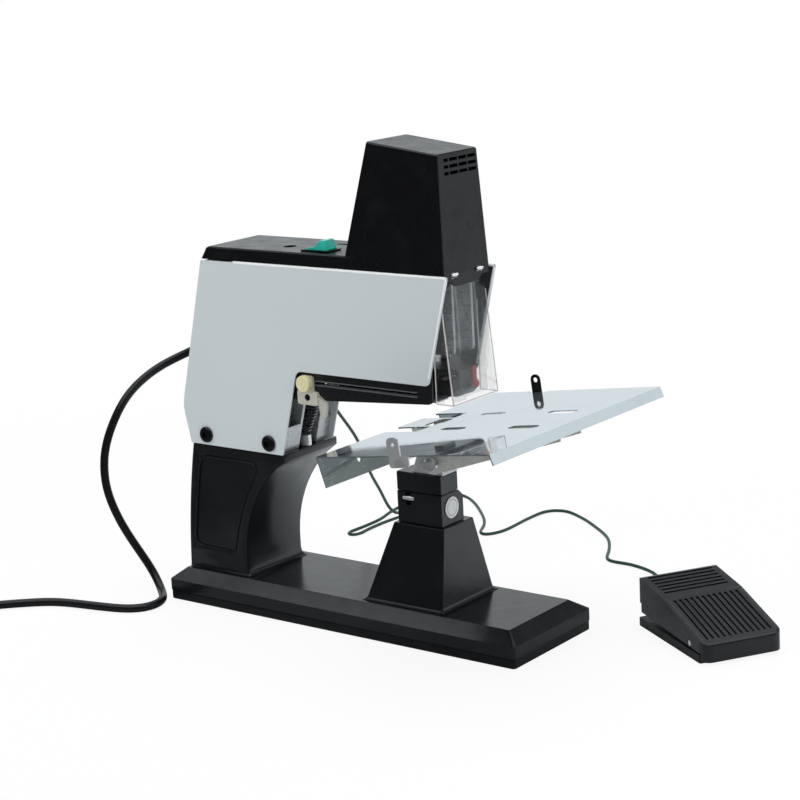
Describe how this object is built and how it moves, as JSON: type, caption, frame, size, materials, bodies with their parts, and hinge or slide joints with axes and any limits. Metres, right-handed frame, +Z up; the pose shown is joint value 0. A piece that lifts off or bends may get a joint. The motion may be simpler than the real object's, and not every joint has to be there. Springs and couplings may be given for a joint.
{
  "type": "electric saddle stapler",
  "caption": "Electric saddle stapler on a cast stand with a tilting slotted table, a clear nose guard and a cabled foot pedal.",
  "frame": {"origin": "centre of the base's underside, on the bench", "axes": "+Z up, +X towards the stapling nose, -Y the side with the depth knob"},
  "size_m": [0.7014, 0.5892, 0.375],
  "materials": {
    "beige": "beige moulding",
    "black_cast": "semi-gloss black paint on cast metal",
    "black_plastic": "satin black moulding",
    "board": "green board",
    "bright_steel": "bright plating",
    "cable_green": "dark green jacket",
    "clear": "clear moulded sheet",
    "copper": "varnished winding",
    "cord_black": "black jacket",
    "dark_steel": "blackened steel",
    "green": "translucent green moulding",
    "grey_steel": "plated sheet",
    "pale": "pale disc",
    "red": "red moulding",
    "table_steel": "polished stainless sheet",
    "white_panel": "white painted sheet"
  },
  "bodies": {
    "stand": {"base_plate": "black_cast", "base_casting": "black_cast", "column_casting": "black_cast", "pedestal_casting": "black_cast", "anvil_block_lower": "black_cast", "anvil_block_upper": "black_cast", "lock_lever": "bright_steel", "front_disc": "pale", "anvil_post": "black_cast", "anvil": "bright_steel", "table_pin": "bright_steel", "near_side_panel": "white_panel", "far_side_panel": "white_panel", "near_rear_screw": "black_plastic", "near_front_screw": "black_plastic", "far_rear_screw": "black_plastic", "far_front_screw": "black_plastic", "rear_panel": "white_panel", "cord_gland": "black_plastic", "pedal_socket": "grey_steel", "pedal_jack": "black_plastic", "near_frame_plate": "grey_steel", "far_frame_plate": "grey_steel", "arm_pin": "bright_steel", "spring_bush": "bright_steel", "return_spring": "dark_steel", "hood_shell": "black_plastic", "switch_bezel": "black_plastic", "solenoid_yoke": "grey_steel", "solenoid_coil": "copper", "control_board": "board", "mains_cord": "cord_black", "mains_coil": "cord_black", "mains_plug": "cord_black", "pedal_cable": "cable_green", "pedal_base": "black_plastic", "pedal_pin": "bright_steel", "pedal_switch": "dark_steel", "pedal_spring": "dark_steel"},
    "arm": {"arm_shell": "black_plastic", "rail_bar": "dark_steel", "staple_magazine": "bright_steel", "staple_strip": "grey_steel", "magazine_nose": "dark_steel", "nose_pin": "bright_steel"},
    "pusher": {"staple_pusher": "dark_steel"},
    "driver": {"driver_blade": "bright_steel"},
    "release": {"release_lever": "red"},
    "depth_slider": {"depth_stop": "grey_steel", "stop_finger": "beige"},
    "depth_turner": {"depth_knob": "beige"},
    "table": {"table_plate": "table_steel", "table_bracket": "grey_steel", "near_tab": "bright_steel", "far_tab": "dark_steel"},
    "wing_screw": {"table_wing_screw": "bright_steel"},
    "guard_flap": {"guard": "clear"},
    "core": {"plunger": "bright_steel"},
    "switch": {"rocker": "green"},
    "treadle": {"pedal_treadle": "black_plastic"}
  },
  "joints": [
    {"name": "arm_hinge", "type": "hinge", "parent": "stand", "child": "arm", "pos_m": [-0.118, 0, 0.188], "axis": [0, 1, 0], "range_deg": [0, 4.5], "stiffness_Nm_per_rad": 20, "springref_deg": -5.73, "deforming": ["return_spring"]},
    {"name": "pusher_slide", "type": "slide", "parent": "arm", "child": "pusher", "axis": [1, 0, 0], "range_m": [-0.026, 0], "stiffness_N_per_m": 60, "springref_m": 0.01},
    {"name": "driver_slide", "type": "slide", "parent": "arm", "child": "driver", "axis": [0, 0, 1], "range_m": [-0.009, 0]},
    {"name": "release_slide", "type": "slide", "parent": "arm", "child": "release", "axis": [0, 0, 1], "range_m": [0, 0.004]},
    {"name": "depth_slide", "type": "slide", "parent": "arm", "child": "depth_slider", "axis": [1, 0, 0], "range_m": [0, 0.078]},
    {"name": "depth_knob_turn", "type": "hinge", "parent": "depth_slider", "child": "depth_turner", "pos_m": [-0.0245, -0.0345, 0.1902], "axis": [0, -1, 0], "range_deg": [-180, 180]},
    {"name": "table_hinge", "type": "hinge", "parent": "stand", "child": "table", "pos_m": [0.079, 0, 0.13505], "axis": [0, 1, 0], "range_deg": [0, 7.33]},
    {"name": "wing_screw_turn", "type": "hinge", "parent": "stand", "child": "wing_screw", "pos_m": [0.079, -0.0175, 0.13505], "axis": [0, -1, 0], "range_deg": [-90, 90]},
    {"name": "guard_hinge", "type": "hinge", "parent": "stand", "child": "guard_flap", "pos_m": [0.11, 0, 0.2798], "axis": [0, 1, 0], "range_deg": [-15, 0]},
    {"name": "plunger_slide", "type": "slide", "parent": "stand", "child": "core", "axis": [0, 0, 1], "range_m": [-0.0245, 0]},
    {"name": "rocker_hinge", "type": "hinge", "parent": "stand", "child": "switch", "pos_m": [-0.015, -0.019, 0.2883], "axis": [0, 1, 0], "range_deg": [0, 16]},
    {"name": "treadle_hinge", "type": "hinge", "parent": "stand", "child": "treadle", "pos_m": [0.28217, 0.06069, 0.0108], "axis": [-0.5314, -0.8471, 0], "range_deg": [0, 3], "stiffness_Nm_per_rad": 6, "springref_deg": -1.15, "deforming": ["pedal_spring"]}
  ],
  "couplings": [
    {"joint": "plunger_slide", "follows": "arm_hinge", "m_per_rad": -0.303},
    {"joint": "driver_slide", "follows": "arm_hinge", "m_per_rad": -0.114}
  ]
}
